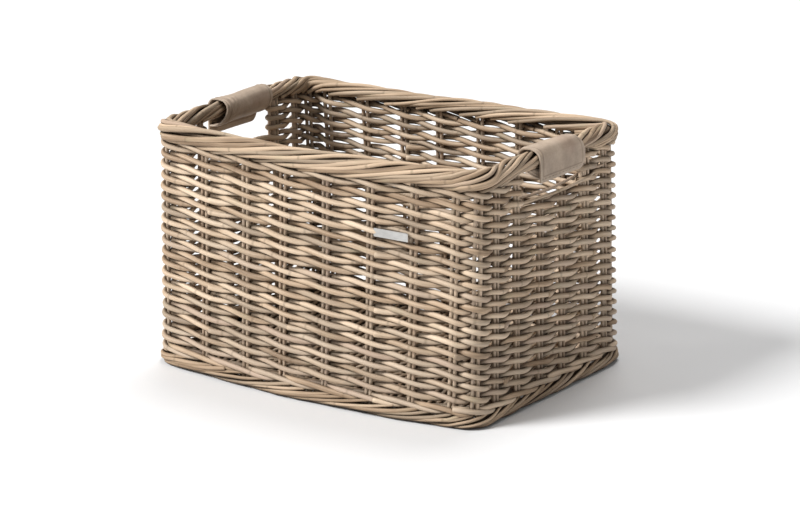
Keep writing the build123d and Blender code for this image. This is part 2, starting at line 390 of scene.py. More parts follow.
# %% [markdown]
# ## Twined rows
# In a twined row two rods change places at every gap: one passes in front of a stake while the
# other passes behind it, then they cross. So a rod's distance from the wall's centre is a cosine
# of the stake count, and its height is a sine: it comes down across the front of each stake and
# climbs back behind the next. Just above the foot three rods work together, each in front of two
# stakes and behind one, which makes a stronger row.
#
# Real rods are a metre or two long, so each row is pieced: a new rod starts beside the old
# one in a gap, and their cut ends show.

# %% Rows
WEAVER_RADIUS = 3.1 * MM
WEAVE_REACH = 4.9 * MM
WEAVE_LIFT = 3.05 * MM
WEAVE_LAG = 0.2
BACK_SAG = 4.2 * MM
STEPS = 14
SPLICE_OVERLAP = 0.3


def sag(u, z):
    """How far the back's middle has sunk: nothing at the foot, BACK_SAG at the rim."""
    place = np.clip((u % STAKES - 14) / 8, 0, 1)
    return BACK_SAG * np.sin(math.pi * place) ** 0.8 * np.clip(rise_at(z), 0, 1) ** 2


def twine(row, u, strand, strands):
    """Path of a rod: outwards by reach * cos(angle), and up by -lift * sin(angle - lag).

    The lag makes the rod fall a little late, so it is still high where it crosses the stake.

    The angle grows by a full turn every two stakes in a pair, and every three in a wale, where
    the cosine is pushed outwards so that the rod is in front twice as often as behind.
    """
    height = FOOT_TOP + (row + 0.5) * ROW_PITCH
    angle = 2 * math.pi * (u + strand) / strands
    out = np.cos(angle)
    if strands == 3:
        out = np.tanh(2.2 * (out + 0.25)) / math.tanh(2.2)
    points, normal = walk(height, u)
    out = out * WEAVE_REACH + wander(u, 0.25 * MM)
    z = height - WEAVE_LIFT * np.sin(angle - WEAVE_LAG) + wander(u, 0.4 * MM)
    z -= sag(u, height)
    return np.column_stack([points + normal * out[:, None], z]), normal


def spliced(row, strand, strands, wave):
    """The rods of one full turn: two or three, with their ends crossing in a gap between stakes."""
    count = rng.integers(2, 4)
    cuts = np.sort(rng.choice(np.arange(0, STAKES, 2), count, replace=False)) + 0.5
    rods = []
    for start, stop in zip(cuts, np.append(cuts[1:], cuts[0] + STAKES)):
        samples = int((stop - start + 2 * SPLICE_OVERLAP) * STEPS)
        u = np.linspace(start - SPLICE_OVERLAP, stop + SPLICE_OVERLAP, samples)
        path, normal = twine(row, u, strand, strands)
        path[:, 2] += np.interp(u % STAKES, np.arange(STAKES + 1), wave)
        head = np.clip((start + 0.25 - u) / 0.55, 0, 1) ** 2
        tail = np.clip((u - stop + 0.25) / 0.55, 0, 1) ** 2
        push = head * rng.uniform(1.5, 3.6) * MM - tail * rng.uniform(5, 8) * MM
        path[:, :2] += normal * push[:, None]
        rods.append(rod(path, WEAVER_RADIUS * (rng.uniform(0.93, 1.06) + wander(u, 0.02, 3, 14))))
    return rods


def row_wave():
    """Small ups and downs of one row at each stake, which all of its rods share."""
    wave = wander(np.arange(STAKES, dtype=float), 0.45 * MM, 1, 6)
    return np.append(wave, wave[0])


def full_row(row, strands):
    """All rods of a row that goes right round."""
    wave = row_wave()
    return [r for strand in range(strands) for r in spliced(row, strand, strands, wave)]

# %% [markdown]
# ## Rows beside the hand holes
# The top rows stop at the stakes on either side of a hand hole. There the rod goes round the
# stake and comes back as its partner, so a row is one long loop with a half turn at each end.

# %% Rows with turns
SILL_ROW = ROWS - HOLE_ROWS
RIGHT_FRONT_EDGE, RIGHT_BACK_EDGE = 9, 12
LEFT_BACK_EDGE, LEFT_FRONT_EDGE = 24, 27
EDGE_OVERHANG = {
    RIGHT_FRONT_EDGE: 6.5 * MM,
    RIGHT_BACK_EDGE: 14 * MM,
    LEFT_BACK_EDGE: 14 * MM,
    LEFT_FRONT_EDGE: 6.5 * MM,
}
TURN_POINTS = 9


def overhang(row, u, wave):
    """How far a row reaches past its edge stake at u, as a vector along the wall into the hole."""
    height = FOOT_TOP + (row + 0.5) * ROW_PITCH + np.interp(u % STAKES, np.arange(STAKES + 1), wave)
    ahead = 1 if u % STAKES in (RIGHT_FRONT_EDGE, LEFT_BACK_EDGE) else -1
    _, normal = walk(height, np.array([float(u)]))
    return np.array([-normal[0, 1], normal[0, 0], 0]) * ahead * EDGE_OVERHANG[u % STAKES]


def turned_row(row, start, stop):
    """One closed rod that twines from stake start to stake stop and back again behind itself.

    A turn is half an ellipse, middle + cos * reach + sin * overhang, where middle and reach are
    half the sum and half the difference of the two ends that it joins.
    """
    wave = row_wave()
    u = np.linspace(start, stop, int((stop - start) * STEPS) + 1)
    sides = []
    for strand in (0, 1):
        path, _ = twine(row, u, start + strand, 2)
        path[:, 2] += np.interp(u % STAKES, np.arange(STAKES + 1), wave)
        sides.append(path)
    bend = np.linspace(0, math.pi, TURN_POINTS)[1:-1, None]
    turns = []
    for edge, entry in ((stop, -1), (start, 0)):
        first, second = sides[0][entry], sides[1][entry]
        middle, reach = (first + second) / 2, (first - second) / 2
        turns.append(middle + np.cos(bend) * reach + np.sin(bend) * overhang(row, edge, wave))
    loop = np.concatenate([sides[0], turns[0], sides[1][::-1], turns[1][::-1]])
    return rod(loop, WEAVER_RADIUS * rng.uniform(0.95, 1.04), closed=True)

# %% [markdown]
# ## The walls
# Rows are made from the foot up. The lowest is the three-rod row, and the top three are in two
# parts, one round the front and one round the back, because the hand holes divide them.

# %% Make the walls
WEAVE_NODES = [name for name in frame["nodes"] if name.endswith("_weave") and name != "base_weave"]


def finish_piece(piece, slot, nodes, body="basket"):
    """Name the body that the piece rides on, its finish, and the CAD nodes that it stands for."""
    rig.ride(piece, body)
    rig.slot(piece, slot)
    if nodes:
        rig.replaces(piece, *nodes)
    return piece


rattan_pieces = []
for row in range(ROWS):
    if row < SILL_ROW:
        row_rods = full_row(row, 3 if row == 0 else 2)
    else:
        row_rods = [turned_row(row, LEFT_FRONT_EDGE, STAKES + RIGHT_FRONT_EDGE),
                    turned_row(row, RIGHT_BACK_EDGE, LEFT_BACK_EDGE)]
    piece = finish_piece(make_piece(f"weave_row_{row + 1:02d}", row_rods), "woven_rattan", WEAVE_NODES)
    rattan_pieces.append(piece)

# %% [markdown]
# ## Stakes
# Each stake is two thinner rods side by side, standing in the middle of the weave. They are
# straight but not perfectly so, and some pairs stand a little further apart.

# %% Stakes
STAKE_RADIUS = 2.3 * MM
STAKE_SPREAD = 2.6 * MM
HOLE_SILL = FOOT_TOP + SILL_ROW * ROW_PITCH
STAKE_POINTS = 30
STAKE_TUCK = 3 * MM
SHORT_STAKES = ("right_stake_3", "right_stake_4", "left_stake_3", "left_stake_4")
SIDE_COUNTS = (("front", 7), ("front_right", 1), ("right", 6), ("back_right", 1),
               ("back", 7), ("back_left", 1), ("left", 6), ("front_left", 1))


def stake_names():
    """The CAD node of every stake, in order round the basket."""
    names = []
    for side, count in SIDE_COUNTS:
        numbers = range(1, count + 1)
        if side == "left":
            numbers = reversed(numbers)
        names += [f"{side}_post" if count == 1 else f"{side}_stake_{number}" for number in numbers]
    return names


def stake_rods(index, top):
    """Two nearly straight rods at a stake's place on the wall, from the foot border to top."""
    z = np.linspace(FOOT_TOP - STAKE_TUCK, top, STAKE_POINTS)
    spread = STAKE_SPREAD * rng.uniform(1.0, 1.3)
    count = np.linspace(0, STAKES, STAKE_POINTS)
    rods = []
    for side in (-1, 1):
        path = np.empty((STAKE_POINTS, 3))
        for level, height in enumerate(z):
            point, normal = walk(height, np.array([float(index)]))
            along = np.array([-normal[0, 1], normal[0, 0]])
            path[level] = (*(point[0] + along * side * spread), height)
        path[:, 0] += wander(count, 0.25 * MM, 1, 3)
        path[:, 1] += wander(count, 0.25 * MM, 1, 3)
        rods.append(rod(path, STAKE_RADIUS * rng.uniform(0.92, 1.05), upright=True))
    return rods


stake_pieces = []
for index, name in enumerate(stake_names()):
    top = HOLE_SILL if name in SHORT_STAKES else RIM_BASE + STAKE_TUCK
    piece = make_piece(f"{name}_rods", stake_rods(index, top))
    stake_pieces.append(finish_piece(piece, "stake_rattan", [name]))

# %% [markdown]
# ## Rods at the edge of a hand hole
# The weavers of the top rows turn back round two more thin rods at the rear edge of each hand
# hole. They reach nearly two rows below the sill and end under the border.

# %% Hole edge rods
EDGE_ROD_RADIUS = 2.1 * MM
EDGE_ROD_Y = (70.8 * MM, 75.4 * MM)
EDGE_ROD_POINTS = 24
edge_rods = []
for side in (-1, 1):
    for y in EDGE_ROD_Y:
        z = np.linspace(HOLE_SILL - 22 * MM, RIM_BASE + 2 * MM, EDGE_ROD_POINTS)
        count = np.linspace(0, STAKES, len(z))
        x = side * HALF_LENGTH + wander(count, 0.3 * MM, 1, 3)
        edge_rods.append(rod(np.column_stack([x, np.full(len(z), y), z]), EDGE_ROD_RADIUS, upright=True))
stake_pieces.append(finish_piece(make_piece("hole_edge_rods", edge_rods), "stake_rattan", []))

# %% [markdown]
# ## Rolled borders
# Above the last row the stakes are bent over and become the border. The rods of one stake lean
# to the right outside the next stake, climb over the top and are tucked down inside four stakes
# further on, side by side with the rods of the stakes between. The foot is the same the other
# way up, with thinner rods. So one table gives a rod's place in the border's section against the
# stakes it has passed, and every stake repeats it.

# %% Borders
RIM_MIDDLE = (RIM_BASE + RIM_TOP) / 2
RIM_TABLE = np.array([
    (0, 0, -14), (0.5, 5.6, -10), (1.0, 8.4, -6.2), (1.7, 9.0, -1.2), (2.3, 6.8, 4.6),
    (2.75, 1.6, 8.1), (3.3, -4.6, 6.9), (4.0, -8.6, 2.6), (4.6, -8.4, -3.2), (5.0, -5.0, -7.5)])
FOOT_MIDDLE = FOOT_TOP / 2
FOOT_TABLE = np.array([
    (0, -5.5, -1.0), (0.7, 0, -3.8), (1.3, 5.4, -3.2), (2.0, 8.0, 0.0), (2.6, 7.2, 4.2), (3.1, 3.4, 9.5)])
RIM_REACH, FOOT_REACH = 12 * MM, 11 * MM
BORDER_POINTS, BORDER_BLUR = 72, 13


def held_in(value, limit, softness=0.5 * MM):
    """The value where it is well under the limit, and smoothly nearer to the limit above it."""
    return limit - softness * np.logaddexp(0, (limit - value) / softness)


def smoothed(table, count, blur):
    """The table's columns at count even steps, each averaged over a window of blur steps."""
    steps = np.linspace(table[0, 0], table[-1, 0], count)
    kernel = np.hanning(blur + 2)[1:-1]
    kernel /= kernel.sum()
    columns = []
    for column in table.T[1:]:
        line = np.pad(np.interp(steps, table[:, 0], column), blur // 2, mode="reflect", reflect_type="odd")
        columns.append(np.convolve(line, kernel, mode="valid")[:count])
    return steps, *columns


# %% [markdown]
# ## Handles
# Above a hand hole the border is gathered into a round bundle, the handle bar. So a rod there is
# drawn in towards the bar's middle, and the change is spread over a few centimetres on each side.

# %% Border rods
BAR_ROOM = 7.5 * MM
BAR_START, BAR_STOP = -100 * MM, 112 * MM
GATHER_START, GATHER_STOP = 45 * MM, 40 * MM
CORE_POINTS = 700


def along_handle(points):
    """1 where the border is a handle bar above a hand hole, 0 elsewhere, with a smooth change."""
    front = np.clip((points[:, 1] - BAR_START) / GATHER_START, 0, 1)
    back = np.clip((BAR_STOP - points[:, 1]) / GATHER_STOP, 0, 1)
    at_end = np.abs(points[:, 0]) > HALF_LENGTH - 1 * MM
    share = np.minimum(front, back) * at_end
    return share * share * (3 - 2 * share)


def border_rod(table, middle, start, radius, upper):
    """One rod of a border from a place on the wall, its section squeezed round along the handles."""
    steps, out, up = smoothed(table, BORDER_POINTS, BORDER_BLUR)
    u = start + steps
    points, normal = walk(middle, u)
    out = out * MM + wander(u, 0.8 * MM, 3, 14)
    up = up * MM + wander(u, 0.8 * MM, 3, 14)
    out = held_in(out, (RIM_REACH if upper else FOOT_REACH) - 1.12 * radius)
    if upper:
        share = along_handle(points)
        room = 1 - share * np.clip(1 - BAR_ROOM / np.hypot(out, up), 0, 1)
        out, up = out * room, up * room + (BAR_HEIGHT - middle) * share - sag(u, middle)
    else:
        up = -held_in(-up, middle - 1.1 * radius)
    path = np.column_stack([points + normal * out[:, None], middle + up])
    return rod(path, radius * (1 + wander(u, 0.02, 3, 12)))


def border(table, middle, radius, gap, rods_each, upper):
    """All rods of a border: a bundle from every stake, and a core that fills the middle."""
    rods = []
    for stake in range(STAKES):
        shift = rng.uniform(-0.12, 0.12)
        for number in range(rods_each):
            start = stake + shift + number * gap + rng.uniform(-0.09, 0.09)
            rods.append(border_rod(table, middle, start, radius * rng.uniform(0.76, 1.08), upper))
    u = np.linspace(0, STAKES, CORE_POINTS, endpoint=False)
    points, _ = walk(middle, u)
    z = middle - (sag(u, middle) if upper else 0)
    core = np.column_stack([points, np.broadcast_to(z, CORE_POINTS)])
    rods.append(rod(core, 1.5 * radius, closed=True, tone=(0, 0)))
    return rods


rim_nodes = [name for name in frame["nodes"] if name.startswith("rim_") or name.endswith("_handle_bar")]
rim = make_piece("rim_border", border(RIM_TABLE, RIM_MIDDLE, 2.9 * MM, 0.46, 2, True))
rattan_pieces.append(finish_piece(rim, "border_rattan", rim_nodes))
foot_nodes = [name for name in frame["nodes"] if name.startswith("foot_")]
foot = make_piece("foot_border", border(FOOT_TABLE, FOOT_MIDDLE, 2.45 * MM, 0.42, 2, False))
rattan_pieces.append(finish_piece(foot, "border_rattan", foot_nodes))

# %% [markdown]
# ## Loose rods in the right hand hole
# A few thin rods cross the right hand hole just above its sill. They sag in the middle, and their
# ends are held between the rows on both sides.

# %% Sill rods
SILL_TABLE = np.array([(8.2, 10, -3.5), (8.9, 8, 4.2), (9.6, 4.5, 3.0), (10.5, 1.5, 1.5), (11.4, 4.0, 3.2),
                       (12.1, 8, 4.4), (12.8, 10, -3.5)])
SILL_POINTS, SILL_BLUR = 60, 9


def sill_rods():
    """Three thin rods over the sill: one table of height and reach, lifted and turned for each."""
    rods = []
    for lift, turn, radius in ((0, 1, 1.9), (4.6, -1, 1.7), (-3.2, -0.6, 1.8)):
        u, up, out = smoothed(SILL_TABLE, SILL_POINTS, SILL_BLUR)
        points, normal = walk(HOLE_SILL, u)
        z = HOLE_SILL + (up * 0.8 + lift + 1.5) * MM + wander(u, 0.3 * MM, 3, 12)
        path = np.column_stack([points + normal * (out * turn * MM)[:, None], z])
        rods.append(rod(path, radius * MM))
    return rods


loose = make_piece("sill_rods", sill_rods())
rattan_pieces.append(finish_piece(loose, "woven_rattan", []))

# %% [markdown]
# ## The floor of the basket
# The floor is a plain weave: thin rods run from front to back, over and under the sticks that
# run the length of the basket, each the other way from its neighbour.

# %% Floor weave
BASE_MIDDLE = sum(corner[2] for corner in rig.box("base_weave")) / 2
BASE_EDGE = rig.box("base_weave")[1][0] - 3 * MM
BASE_ROD, STICK_RADIUS = 2.2 * MM, 2.4 * MM
STICK_SPACING = 36 * MM
BASE_STICKS = 7
BASE_WEAVERS = 84
BASE_INSET = 12 * MM
STICK_POINTS, CROSS_POINTS = 40, 72


def inner_edges(x):
    """Y of the floor's front and back edges at x, inside the plan's two bowed sides."""
    front = FOOT_PLAN[PLAN_Q < 1]
    back = FOOT_PLAN[(PLAN_Q >= 4) & (PLAN_Q < 5)][::-1]
    front_y = np.interp(x, front[:, 0], front[:, 1]) + BASE_INSET
    return front_y, np.interp(x, back[:, 0], back[:, 1]) - BASE_INSET


def base_rods():
    """Sticks along X in pairs, and weavers along Y whose height is a cosine of the stick count."""
    rods = []
    count = np.linspace(0, STAKES, STICK_POINTS)
    for stick in range(BASE_STICKS):
        y = (stick - (BASE_STICKS - 1) / 2) * STICK_SPACING
        for side in (-1, 1):
            x = np.linspace(-BASE_EDGE, BASE_EDGE, STICK_POINTS)
            y_line = y + side * STICK_RADIUS * 1.05 + wander(count, 0.4 * MM, 1, 4)
            path = np.column_stack([x, y_line, np.full(STICK_POINTS, BASE_MIDDLE)])
            rods.append(rod(path, STICK_RADIUS))
    for number, x in enumerate(np.linspace(-BASE_EDGE, BASE_EDGE, BASE_WEAVERS)):
        front, back = inner_edges(x)
        y = np.linspace(front, back, CROSS_POINTS)
        lift = np.cos(math.pi * (y / STICK_SPACING + number)) * (STICK_RADIUS + BASE_ROD)
        x_line = x + wander(np.linspace(0, STAKES, CROSS_POINTS), 0.35 * MM, 1, 8)
        path = np.column_stack([x_line, y, BASE_MIDDLE + lift])
        rods.append(rod(path, BASE_ROD * rng.uniform(0.92, 1.08)))
    return rods


base = make_piece("base_floor", base_rods())
rattan_pieces.append(finish_piece(base, "woven_rattan", ["base_weave", "base_sticks"]))

# %% [markdown]
# ## Shader maths
# A small class wraps a socket, so that a pattern is written as an ordinary expression. Any other
# node comes from one method, which takes the node's type, its settings and its inputs.

# %% Shader helpers
class Val:
    """A shader socket that understands arithmetic."""

    def __init__(self, kit, socket):
        self.kit = kit
        self.socket = socket

    def math(self, operation, *others):
        return self.kit.node("ShaderNodeMath", {"operation": operation}, [self, *others])

    def __add__(self, other):
        return self.math("ADD", other)

    __radd__ = __add__

    def __mul__(self, other):
        return self.math("MULTIPLY", other)

    __rmul__ = __mul__

    def __sub__(self, other):
        return self.math("SUBTRACT", other)

    def __rsub__(self, other):
        return self.kit.node("ShaderNodeMath", {"operation": "SUBTRACT"}, [other, self])

    def __truediv__(self, other):
        return self.math("DIVIDE", other)


class Kit:
    """One material's node tree, made from a title and filled by its methods."""

    def __init__(self, title):
        self.material = bpy.data.materials.new(title)
        self.material.use_nodes = True
        self.tree = self.material.node_tree
        self.shader = self.tree.nodes["Principled BSDF"]

    def node(self, kind, settings=None, inputs=(), output=0):
        """Add a node, set its settings, then its inputs by place or by name, and wrap an output."""
        node = self.tree.nodes.new(kind)
        for key, value in (settings or {}).items():
            if key == "stops":
                self.set_stops(node.color_ramp, value)
            else:
                setattr(node, key, value)
        pairs = inputs.items() if isinstance(inputs, dict) else enumerate(inputs)
        for key, value in pairs:
            self.feed(node.inputs[key], value)
        return Val(self, node.outputs[output])

    def set_stops(self, ramp, stops):
        while len(ramp.elements) < len(stops):
            ramp.elements.new(0.5)
        for element, (place, colour) in zip(ramp.elements, stops):
            element.position = place
            element.color = (*colour, 1)

    def feed(self, socket, value):
        if isinstance(value, Val):
            self.tree.links.new(value.socket, socket)
        else:
            socket.default_value = value

    def attribute(self, name):
        return self.node("ShaderNodeAttribute", {"attribute_name": name}, output="Fac")

    def ramp(self, value, stops):
        return self.node("ShaderNodeValToRGB", {"stops": stops}, [value])

    def clamp(self, value, low, high):
        """A smooth step from 0 at low to 1 at high."""
        settings = {"interpolation_type": "SMOOTHSTEP"}
        return self.node("ShaderNodeMapRange", settings, {"Value": value, "From Min": low, "From Max": high})

    def noise(self, vector, scale, detail=2.0, roughness=0.5):
        inputs = {"Vector": vector, "Scale": scale, "Detail": detail, "Roughness": roughness}
        return self.node("ShaderNodeTexNoise", None, inputs)

    def mix(self, factor, first, second):
        """The first colour where factor is 0, the second where it is 1."""
        return self.node("ShaderNodeMix", {"data_type": "RGBA"}, {0: factor, 6: first, 7: second}, output=2)

    def split(self, vector):
        """The first two numbers of a vector."""
        first = self.node("ShaderNodeSeparateXYZ", None, [vector])
        return first, Val(self, first.socket.node.outputs[1])

    def finish(self, **sockets):
        for name, value in sockets.items():
            self.feed(self.shader.inputs[name.replace("_", " ")], value)
        return self.material

# %% [markdown]
# ## Weathered rattan
# Rattan for greyed baskets keeps a thin skin that is soaked in mud or left in the weather. Every
# rod takes its own tone, from straw to pinkish brown and grey; along a rod the colour drifts in
# long streaks, and about every fourteen centimetres an old leaf scar leaves a darker ring. Painted
# shade darkens the colour of the places that little light reaches, which the share of open sky gives.

# %% Rattan
def rattan(title, dark, middle, light, grey, painted_shade_depth):
    """Rattan whose colour follows the rods: a tone per rod, streaks along it and ring scars.

    dark, middle and light are the stops of its colour, grey what it weathers to, and
    painted_shade_depth how much painted shade darkens the hidden places.
    """
    kit = Kit(title)
    tone, hue = kit.attribute("rod_tone"), kit.attribute("rod_hue")
    length, around = kit.split(kit.node("ShaderNodeUVMap", {"uv_map": "rod_uv"}))
    streak_place = kit.node("ShaderNodeCombineXYZ", None, [length * 9 + tone * 50, around * 3.2, hue * 40])
    streaks = kit.noise(streak_place, 1.0, 5.0, 0.6)
    drift_place = kit.node("ShaderNodeCombineXYZ", None, [length * 14 + hue * 70, tone * 30, 0.0])
    drift = kit.noise(drift_place, 1.0, 2.0)
    fine_place = kit.node("ShaderNodeCombineXYZ", None, [length * 60, around * 22, tone * 20])
    fibres = kit.noise(fine_place, 1.0, 3.0, 0.65)
    shade = kit.clamp(tone * 0.34 + streaks * 0.8 + drift * 0.5, 0.38, 1.15)
    colour = kit.ramp(shade, [(0.0, dark), (0.45, middle), (1.0, light)])
    greyed = kit.clamp(hue * 0.8 + drift * 0.5, 0.55, 1.0)
    colour = kit.mix(greyed * 0.45, colour, grey)
    pink = kit.clamp(tone * hue + streaks * 0.25, 0.62, 0.95)
    colour = kit.mix(pink * 0.4, colour, (0.42, 0.28, 0.21, 1))
    green = kit.clamp(kit.noise(drift_place, 1.7, 2.0), 0.58, 0.78)
    colour = kit.mix(green * 0.35, colour, (0.36, 0.33, 0.20, 1))
    scar = kit.node("ShaderNodeMath", {"operation": "FRACT"}, [length / 0.137 + tone * 7.3])
    ring = kit.clamp(scar, 0.0, 0.012) * (1 - kit.clamp(scar, 0.018, 0.035))
    colour = kit.mix(ring * 0.3, colour, (*(0.5 * c for c in dark), 1))
    fleck = kit.clamp(fibres, 0.60, 0.74)
    colour = kit.mix(fleck * 0.35, colour, (*(0.55 * c for c in dark), 1))
    # Painted shade: where the ambient occlusion node finds little open sky, the colour is mixed towards a near-black
    # brown.
    open_share = kit.node("ShaderNodeAmbientOcclusion", {"samples": 6}, {"Distance": 0.014}, output="AO")
    painted_shade = (1 - kit.clamp(open_share, 0.2, 0.9)) * painted_shade_depth
    colour = kit.mix(painted_shade, colour, (0.045, 0.024, 0.010, 1))
    bump = kit.node("ShaderNodeBump", None, {"Strength": 0.35, "Distance": 0.0004,
                                             "Height": streaks * 0.6 + fibres * 0.5 - ring * 0.6})
    roughness = 0.52 + streaks * 0.2
    kit.shader.inputs["Specular IOR Level"].default_value = 0.35
    return kit.finish(Base_Color=colour, Roughness=roughness, Normal=bump)


woven = rattan("weathered_rattan", (0.22, 0.14, 0.083), (0.49, 0.355, 0.237), (0.74, 0.585, 0.43),
               (0.38, 0.32, 0.25, 1), 0.85)
stake_rattan = rattan("stake_rattan", (0.30, 0.20, 0.13), (0.56, 0.41, 0.29), (0.82, 0.65, 0.48),
                      (0.46, 0.38, 0.30, 1), 0.5)
borders = rattan("border_rattan", (0.15, 0.092, 0.052), (0.375, 0.262, 0.167), (0.63, 0.47, 0.325),
                 (0.33, 0.27, 0.20, 1), 0.95)
for piece in rattan_pieces:
    piece.data.materials.append(borders if piece.name.endswith("border") else woven)
for piece in stake_pieces:
    piece.data.materials.append(stake_rattan)

# %% [markdown]
# ## Leather sleeves
# A sleeve is one piece of soft leather, folded over the border and sewn to itself low down. Its
# section runs down the inside, over the top and down the outside, where it hangs as a flat flap
# below the seam. It is loose: it touches the bar only at the top and bags a little elsewhere.

# %% Sleeves
LEATHER = 2.0 * MM
SLEEVE_REACH = 13.2 * MM
SLEEVE_END_GAP = 0.6 * MM
HEM_WIDTH = 5 * MM
ACROSS, ALONG = 110, 84
LINE_POINTS, LINE_BLUR = 400, 33
MOUTH = np.array([
    (10.6, -20.8), (3.0, -19.8), (-7.0, -16.0), (-14.0, -8.5), (-17.5, -0.5), (-16.4, 6.6), (-10.6, 11.2),
    (-2.0, 12.4), (6.0, 10.6), (10.9, 5.4), (12.2, -2.0), (12.3, -12.0), (12.2, -25.0)])
REAR = np.array([
    (10.6, -20.8), (4.5, -19.2), (-4.0, -15.6), (-10.2, -8.5), (-12.4, -0.5), (-10.3, 7.6), (-3.6, 12.2),
    (2.6, 12.3), (8.2, 9.2), (11.6, 3.2), (12.2, -5.0), (12.4, -14.0), (12.2, -25.0)])


def smooth_step(value):
    """0 below 0, 1 above 1, and between them 3 * value squared - 2 * value cubed."""
    value = np.clip(value, 0, 1)
    return value * value * (3 - 2 * value)


def sleeve_line(knots, drop):
    """The knots as a smooth line of ACROSS points in metres, with the flap let down to -drop."""
    line = np.vstack([knots[:-1], (knots[-1, 0], -drop)]) * MM
    steps = np.append(0, np.cumsum(np.linalg.norm(np.diff(line, axis=0), axis=1)))
    place = np.linspace(0, steps[-1], LINE_POINTS)
    kernel = np.hanning(LINE_BLUR + 2)[1:-1]
    kernel /= kernel.sum()
    columns = []
    for column in line.T:
        padded = np.pad(np.interp(place, steps, column), LINE_BLUR // 2, mode="reflect", reflect_type="odd")
        columns.append(np.convolve(padded, kernel, mode="valid"))
    line = np.column_stack(columns)
    length = np.append(0, np.cumsum(np.linalg.norm(np.diff(line, axis=0), axis=1)))
    place = np.linspace(0, length[-1], ACROSS)
    return np.column_stack([np.interp(place, length, column) for column in line.T]), length[-1]


def sleeve_relief(across, along, reach, length, width, side):
    """How far the leather stands in from its smooth section.

    Folds are ripples that fade from the mouth. Slack and dents are products of slow sines. The
    hem is a low raised band along the edges with a sewn groove inside it. reach is how far the
    sheet runs along the bar at each place across it.
    """
    seed = 0.4 if side > 0 else 1.7
    folds = np.exp(-((along - 0.02) / 0.2) ** 2) * (0.35 if side > 0 else 0.8) * MM
    folds = folds * np.sin(2 * math.pi * (along * 12 + 0.4 * np.sin(4 * across + seed)))
    slack = np.sin(math.pi * along) * np.sin(3 * math.pi * across + seed) * 0.7 * MM
    dents = np.sin(8 * along + 6 * across + seed) * np.sin(6 * across * (1 + along) + 2 * seed) * 0.5 * MM
    edge_along = np.minimum(along * length, reach - along * reach)
    edge = np.minimum(edge_along, (1 - across) * width) / HEM_WIDTH
    hem = 0.4 * smooth_step((1.05 - edge) / 0.2) - 0.8 * np.exp(-((edge - 1.08) / 0.14) ** 2)
    return folds + slack + dents - 0.4 * MM + hem * MM


def sleeve_grid(end, side, drop):
    """Points of the leather sheet, a section carried along the bar, and its length and width.

    The section changes from the wide mouth to the narrower rear. The flap's rear corner is
    rounded, and on the right sleeve the rear edge leans in at the top.
    """
    low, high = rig.box(f"{end}_sleeve")
    mouth, width = sleeve_line(MOUTH, drop)
    rear, _ = sleeve_line(REAR, drop)
    across = np.linspace(0, 1, ACROSS)[:, None]
    along = np.linspace(0, 1, ALONG)[None, :]
    share = smooth_step(along * 1.15)[..., None]
    section = mouth[:, None] * (1 - share) + rear[:, None] * share
    tangent = np.gradient(section, axis=0)
    tangent /= np.linalg.norm(tangent, axis=2)[..., None]
    length = high[1] - low[1] - 2 * SLEEVE_END_GAP
    lean = 14 * MM * np.exp(-((across - 0.52) / 0.17) ** 2) * (side > 0)
    from_corner = np.clip((across - 0.86) / 0.14, 0, 1)
    reach = length - lean - 12 * MM * (1 - np.sqrt(1 - 0.98 * from_corner ** 2))
    push = sleeve_relief(across, along, reach, length, width, side)
    x = held_in(section[..., 0] + tangent[..., 1] * push, SLEEVE_REACH - 0.55 * LEATHER)
    z = held_in(section[..., 1] - tangent[..., 0] * push, high[2] - BAR_HEIGHT - 0.55 * LEATHER)
    y = low[1] + SLEEVE_END_GAP + reach * along
    grid = np.stack([side * (x + HALF_LENGTH), y + 0 * x, z + BAR_HEIGHT], axis=2)
    uv = np.stack([np.broadcast_to(across, x.shape), np.broadcast_to(along, x.shape)], axis=2)
    return grid, uv, length, width

# %% [markdown]
# ## The sleeve's mesh
# The sheet is one grid of faces, to which two modifiers give its thickness and its rounded cut
# edges. The left sleeve is the mirror image of the right one's side, so its faces are turned
# over to keep them facing outwards.

# %% Make the sleeves
def make_sleeve(end, side, drop):
    """The sleeve's object: the grid as a mesh, thickened and with its edges rounded."""
    grid, uv, length, width = sleeve_grid(end, side, drop)
    i, j = np.meshgrid(np.arange(ACROSS - 1), np.arange(ALONG - 1), indexing="ij")
    corners = [i * ALONG + j, i * ALONG + j + 1, (i + 1) * ALONG + j + 1, (i + 1) * ALONG + j]
    quads = np.stack(corners, axis=2)[:, :, ::side]
    mesh = bpy.data.meshes.new(f"{end}_leather_sleeve")
    mesh.from_pydata(grid.reshape(-1, 3).tolist(), [], quads.reshape(-1, 4).tolist())
    layer = mesh.uv_layers.new(name="hide_uv")
    layer.data.foreach_set("uv", uv.reshape(-1, 2)[quads.ravel()].ravel())
    mesh.polygons.foreach_set("use_smooth", np.ones(len(mesh.polygons), dtype=bool))
    piece = bpy.data.objects.new(f"{end}_leather_sleeve", mesh)
    bpy.context.scene.collection.objects.link(piece)
    thickness = piece.modifiers.new("thickness", "SOLIDIFY")
    thickness.thickness = LEATHER
    thickness.offset = 0
    soften = piece.modifiers.new("rounded edge", "BEVEL")
    soften.width = 0.5 * MM
    soften.segments = 2
    soften.limit_method = "ANGLE"
    print(f"{end} sleeve: sheet {1000 * length:.0f} by {1000 * width:.0f} mm")
    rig.sheet(piece, flat=(float(length), float(width)), held="folded", rests_on=[f"{end}_handle_bar"])
    return piece


sleeves = {}
for end, side, drop in (("left", -1, 32.0), ("right", 1, 25.0)):
    sleeve = make_sleeve(end, side, drop)
    sleeves[end] = finish_piece(sleeve, "leather", [f"{end}_sleeve"], f"{end}_grip")
